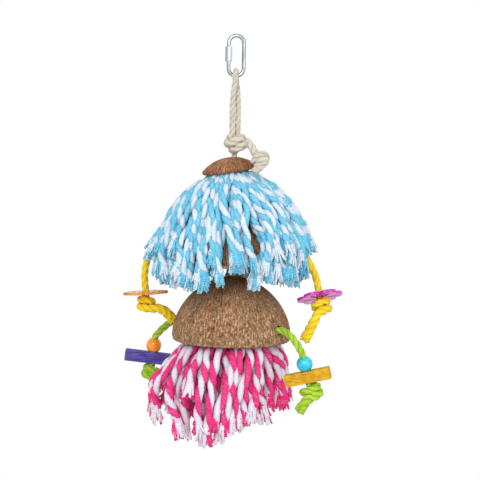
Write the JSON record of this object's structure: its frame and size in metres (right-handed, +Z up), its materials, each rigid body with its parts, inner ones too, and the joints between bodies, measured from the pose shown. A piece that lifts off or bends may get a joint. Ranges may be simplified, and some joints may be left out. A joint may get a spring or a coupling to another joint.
{
  "type": "hanging bird toy",
  "caption": "Hanging bird toy: quick link and knotted rope through half coconut shells with yarn mops, and side cords carrying flowers, beads and wooden blocks.",
  "frame": {"origin": "inside of the quick link's crown, where the toy hangs on a cage bar", "axes": "+Z up along the rope, +X to the right of the picture, +Y away from it"},
  "size_m": [0.1936, 0.1407, 0.3591],
  "materials": {
    "zinc_steel": "zinc plated, bright",
    "natural_rope": "twisted natural fibre rope",
    "coconut_cap": "sanded coconut shell, fibrous",
    "coconut_shell": "sanded coconut shell, fibrous",
    "blue_yarn": "two-ply cotton mop yarn, blue and white",
    "pink_yarn": "two-ply cotton mop yarn, pink and white",
    "yellow_cord": "dyed twisted cord",
    "green_cord": "dyed twisted cord",
    "orange_acrylic": "clear tinted acrylic",
    "magenta_acrylic": "clear tinted acrylic",
    "orange_bead": "glossy lacquer",
    "blue_bead": "glossy lacquer",
    "purple_wood": "stained softwood, matt",
    "ochre_wood": "stained softwood, matt"
  },
  "bodies": {
    "link": {"quick_link_body": "zinc_steel"},
    "nut": {"quick_link_nut": "zinc_steel"},
    "hanger": {"hanging_loop": "natural_rope", "main_knot": "natural_rope", "knot_tail": "natural_rope", "tail_knot": "natural_rope", "rope_neck": "natural_rope", "upper_stopper_knot": "natural_rope", "rope_middle": "natural_rope", "lower_stopper_knot": "natural_rope", "rope_lower": "natural_rope", "end_knot": "natural_rope"},
    "canopy": {"upper_shell": "coconut_shell", "blue_mop_front": "blue_yarn", "blue_mop_right": "blue_yarn", "blue_mop_back": "blue_yarn", "blue_mop_left": "blue_yarn", "yellow_cross_cord": "yellow_cord"},
    "cap": {"coconut_cap": "coconut_cap"},
    "lower": {"lower_shell": "coconut_shell", "pink_mop_front": "pink_yarn", "pink_mop_right": "pink_yarn", "pink_mop_back": "pink_yarn", "pink_mop_left": "pink_yarn", "green_cross_cord": "green_cord"},
    "yellow_left": {"yellow_cord_left": "yellow_cord", "yellow_knot_left": "yellow_cord"},
    "yellow_right": {"yellow_cord_right": "yellow_cord", "yellow_knot_right": "yellow_cord"},
    "green_left": {"green_cord_left": "green_cord", "green_knot_left": "green_cord"},
    "green_right": {"green_cord_right": "green_cord", "green_knot_right": "green_cord"},
    "flower_left": {"flower_left": "orange_acrylic"},
    "flower_right": {"flower_right": "magenta_acrylic"},
    "bead_left": {"bead_left": "orange_bead"},
    "bead_right": {"bead_right": "blue_bead"},
    "block_left": {"block_left": "purple_wood"},
    "block_right": {"block_right": "ochre_wood"}
  },
  "joints": [
    {"name": "nut_slide", "type": "slide", "parent": "link", "child": "nut", "axis": [0, 0, -1], "range_m": [0, 0.0056]},
    {"name": "hanger_swing", "type": "hinge", "parent": "link", "child": "hanger", "pos_m": [0, 0, -0.0334], "axis": [1, 0, 0], "range_deg": [-60, 60]},
    {"name": "canopy_swivel", "type": "hinge", "parent": "hanger", "child": "canopy", "pos_m": [0, 0, -0.145], "axis": [0, 0, 1], "continuous": true},
    {"name": "cap_spin", "type": "hinge", "parent": "canopy", "child": "cap", "pos_m": [0, 0, -0.133], "axis": [0, 0, 1], "continuous": true},
    {"name": "lower_swivel", "type": "hinge", "parent": "canopy", "child": "lower", "pos_m": [0, 0, -0.213], "axis": [0, 0, 1], "range_deg": [-110, 10]},
    {"name": "yellow_left_swing", "type": "hinge", "parent": "canopy", "child": "yellow_left", "pos_m": [-0.0696, 0.011, -0.1885], "axis": [0.1561, 0.9877, 0], "range_deg": [0, 40]},
    {"name": "yellow_right_swing", "type": "hinge", "parent": "canopy", "child": "yellow_right", "pos_m": [0.062, -0.0115, -0.188], "axis": [-0.1824, -0.9832, 0], "range_deg": [0, 40]},
    {"name": "green_left_swing", "type": "hinge", "parent": "lower", "child": "green_left", "pos_m": [-0.0458, 0.0332, -0.2525], "axis": [0.5869, 0.8097, 0], "range_deg": [0, 40]},
    {"name": "green_right_swing", "type": "hinge", "parent": "lower", "child": "green_right", "pos_m": [0.0458, -0.0332, -0.2525], "axis": [-0.5869, -0.8097, 0], "range_deg": [0, 40]},
    {"name": "flower_left_spin", "type": "hinge", "parent": "yellow_left", "child": "flower_left", "pos_m": [-0.0767, 0.0109, -0.2285], "axis": [-0.0698, 0.0698, 0.9951], "continuous": true},
    {"name": "flower_right_spin", "type": "hinge", "parent": "yellow_right", "child": "flower_right", "pos_m": [0.0771, -0.0156, -0.2261], "axis": [-0.1844, 0.3411, 0.9218], "continuous": true},
    {"name": "block_left_spin", "type": "hinge", "parent": "green_left", "child": "block_left", "pos_m": [-0.0723, 0.045, -0.2949], "axis": [0.1044, 0, 0.9945], "continuous": true},
    {"name": "block_right_spin", "type": "hinge", "parent": "green_right", "child": "block_right", "pos_m": [0.0677, -0.044, -0.295], "axis": [-0.2425, 0, 0.9701], "continuous": true},
    {"name": "bead_left_spin", "type": "hinge", "parent": "green_left", "child": "bead_left", "pos_m": [-0.0723, 0.045, -0.2949], "axis": [0.1044, 0, 0.9945], "continuous": true},
    {"name": "bead_right_spin", "type": "hinge", "parent": "green_right", "child": "bead_right", "pos_m": [0.0677, -0.044, -0.295], "axis": [-0.2425, 0, 0.9701], "continuous": true}
  ]
}
